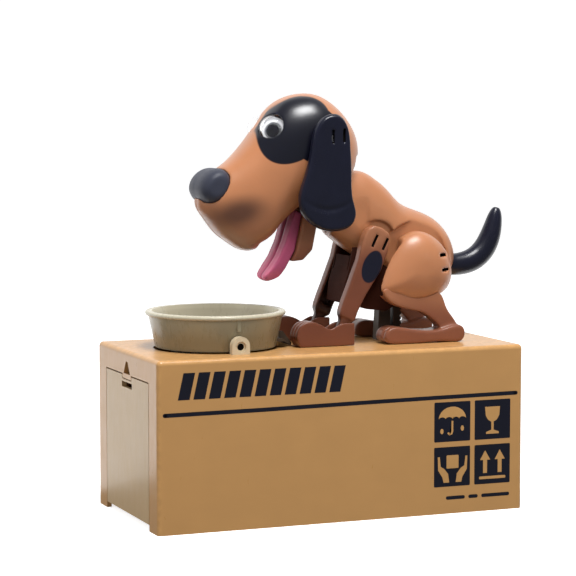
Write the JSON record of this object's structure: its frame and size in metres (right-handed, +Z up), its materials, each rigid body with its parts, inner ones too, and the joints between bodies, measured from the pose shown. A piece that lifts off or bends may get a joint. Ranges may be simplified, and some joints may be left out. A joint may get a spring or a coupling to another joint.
{
  "type": "mechanical coin bank",
  "caption": "Battery-driven dog coin bank: a dog on a printed box bows its head to a tilting coin dish, with a coin door in the box's end.",
  "frame": {"origin": "centre of the box's bottom rectangle, on the surface the bank stands on", "axes": "+X towards the tail end (the dog faces -X), -Y is the printed front, +Z up"},
  "size_m": [0.1854, 0.085, 0.1888],
  "materials": {
    "box_print": "satin",
    "box_base": "satin",
    "door_tan": "satin",
    "dog_tan": "satin",
    "dog_leg": "satin",
    "cover_brown": "satin",
    "ear_navy": "satin",
    "nose_slate": "satin",
    "tongue_pink": "satin",
    "eye_clear": "clear",
    "eye_white": "gloss",
    "pupil_black": "gloss",
    "bowl_khaki": "satin",
    "boss_cream": "satin",
    "post_olive": "satin",
    "gear_white": "satin",
    "steel": "brushed",
    "motor_steel": "satin",
    "brass_screw": "satin",
    "cell_jacket": "gloss",
    "board_green": "satin"
  },
  "bodies": {
    "base": {"box_shell": "box_print", "base_plate": "box_base", "battery_cover": "box_base", "batteries": "cell_jacket", "battery_contacts": "steel", "base_screws": "steel", "coin_divider": "box_base", "bowl_brackets": "boss_cream", "motor": "motor_steel", "motor_clamp": "box_base", "gear_plate_near": "post_olive", "gear_plate_far": "post_olive", "gear_shafts": "steel", "rod_guide": "post_olive", "support_post": "post_olive", "circuit_board": "board_green", "board_posts": "box_base", "hip_pin": "steel", "thigh_near": "dog_tan", "thigh_far": "dog_tan", "hind_leg_near": "dog_leg", "hind_leg_far": "dog_leg", "paw_near": "dog_leg", "paw_far": "dog_leg"},
    "door": {"coin_door": "door_tan"},
    "dish": {"bowl": "bowl_khaki", "bowl_spout": "post_olive", "bowl_pins": "steel", "bowl_weight": "steel"},
    "cam_body": {"cam_gear": "gear_white"},
    "idler_body": {"idler_gear": "gear_white"},
    "rotor_body": {"motor_rotor": "steel"},
    "rod": {"push_rod": "post_olive"},
    "roller": {"rod_roller": "gear_white"},
    "torso": {"torso_near": "dog_tan", "torso_far": "dog_tan", "belly_cover": "cover_brown", "drive_pin": "steel", "shoulder_pin": "steel", "tail": "ear_navy"},
    "head": {"head_near": "dog_tan", "head_far": "dog_tan", "nose": "nose_slate", "eye_domes": "eye_clear", "eye_discs": "eye_white", "pupils": "pupil_black", "neck_pin": "steel", "jaw_pin": "steel", "ear_pins": "steel"},
    "jaw": {"lower_jaw": "dog_leg", "tongue": "tongue_pink"},
    "ear_near_body": {"ear_near": "ear_navy"},
    "ear_far_body": {"ear_far": "ear_navy"},
    "leg_near_body": {"front_leg_near": "dog_leg"},
    "leg_far_body": {"front_leg_far": "dog_leg"}
  },
  "joints": [
    {"name": "bow", "type": "hinge", "parent": "base", "child": "torso", "pos_m": [0.058, 0, 0.112], "axis": [0, -1, 0], "range_deg": [0, 20]},
    {"name": "nod", "type": "hinge", "parent": "torso", "child": "head", "pos_m": [0.005, 0, 0.15], "axis": [0, -1, 0], "range_deg": [-10, 0]},
    {"name": "bite", "type": "hinge", "parent": "head", "child": "jaw", "pos_m": [0.002, 0, 0.14], "axis": [0, -1, 0], "range_deg": [-14, 0]},
    {"name": "leg_near_swing", "type": "hinge", "parent": "torso", "child": "leg_near_body", "pos_m": [0.028, 0, 0.122], "axis": [0, -1, 0], "range_deg": [-25.6, 0]},
    {"name": "leg_far_swing", "type": "hinge", "parent": "torso", "child": "leg_far_body", "pos_m": [0.028, 0, 0.122], "axis": [0, -1, 0], "range_deg": [-25.6, 0]},
    {"name": "rod_slide", "type": "slide", "parent": "base", "child": "rod", "axis": [0, 0, -1], "range_m": [0, 0.00417]},
    {"name": "cam_turn", "type": "hinge", "parent": "base", "child": "cam_body", "pos_m": [0.043, 0, 0.036], "axis": [0, -1, 0], "range_deg": [-180, 0]},
    {"name": "idler_turn", "type": "hinge", "parent": "base", "child": "idler_body", "pos_m": [0.0174, 0, 0.036], "axis": [0, -1, 0], "range_deg": [0, 540]},
    {"name": "motor_turn", "type": "hinge", "parent": "base", "child": "rotor_body", "pos_m": [0.0174, 0, 0.0216], "axis": [0, -1, 0], "range_deg": [-1620, 0]},
    {"name": "roller_spin", "type": "hinge", "parent": "rod", "child": "roller", "pos_m": [0.043, 0, 0.056], "axis": [0, -1, 0], "continuous": true},
    {"name": "ear_near_swing", "type": "hinge", "parent": "head", "child": "ear_near_body", "pos_m": [0.0012, 0, 0.169], "axis": [0, -1, 0], "range_deg": [-12, 12]},
    {"name": "ear_far_swing", "type": "hinge", "parent": "head", "child": "ear_far_body", "pos_m": [0.0012, 0, 0.169], "axis": [0, -1, 0], "range_deg": [-12, 12]},
    {"name": "dish_tilt", "type": "hinge", "parent": "base", "child": "dish", "pos_m": [-0.0456, 0, 0.0786], "axis": [0, 1, 0], "range_deg": [0, 8]},
    {"name": "coin_door_open", "type": "hinge", "parent": "base", "child": "door", "pos_m": [-0.0849, 0, 0.0062], "axis": [0, -1, 0], "range_deg": [0, 90]}
  ],
  "couplings": [
    {"joint": "nod", "follows": "bow", "ratio": -0.5},
    {"joint": "bite", "follows": "bow", "ratio": -0.7},
    {"joint": "leg_near_swing", "follows": "bow", "ratio": -1.28},
    {"joint": "leg_far_swing", "follows": "bow", "ratio": -1.28},
    {"joint": "rod_slide", "follows": "bow", "m_per_rad": 0.011946},
    {"joint": "cam_turn", "follows": "bow", "ratio": -9},
    {"joint": "idler_turn", "follows": "bow", "ratio": 27},
    {"joint": "motor_turn", "follows": "bow", "ratio": -81}
  ]
}
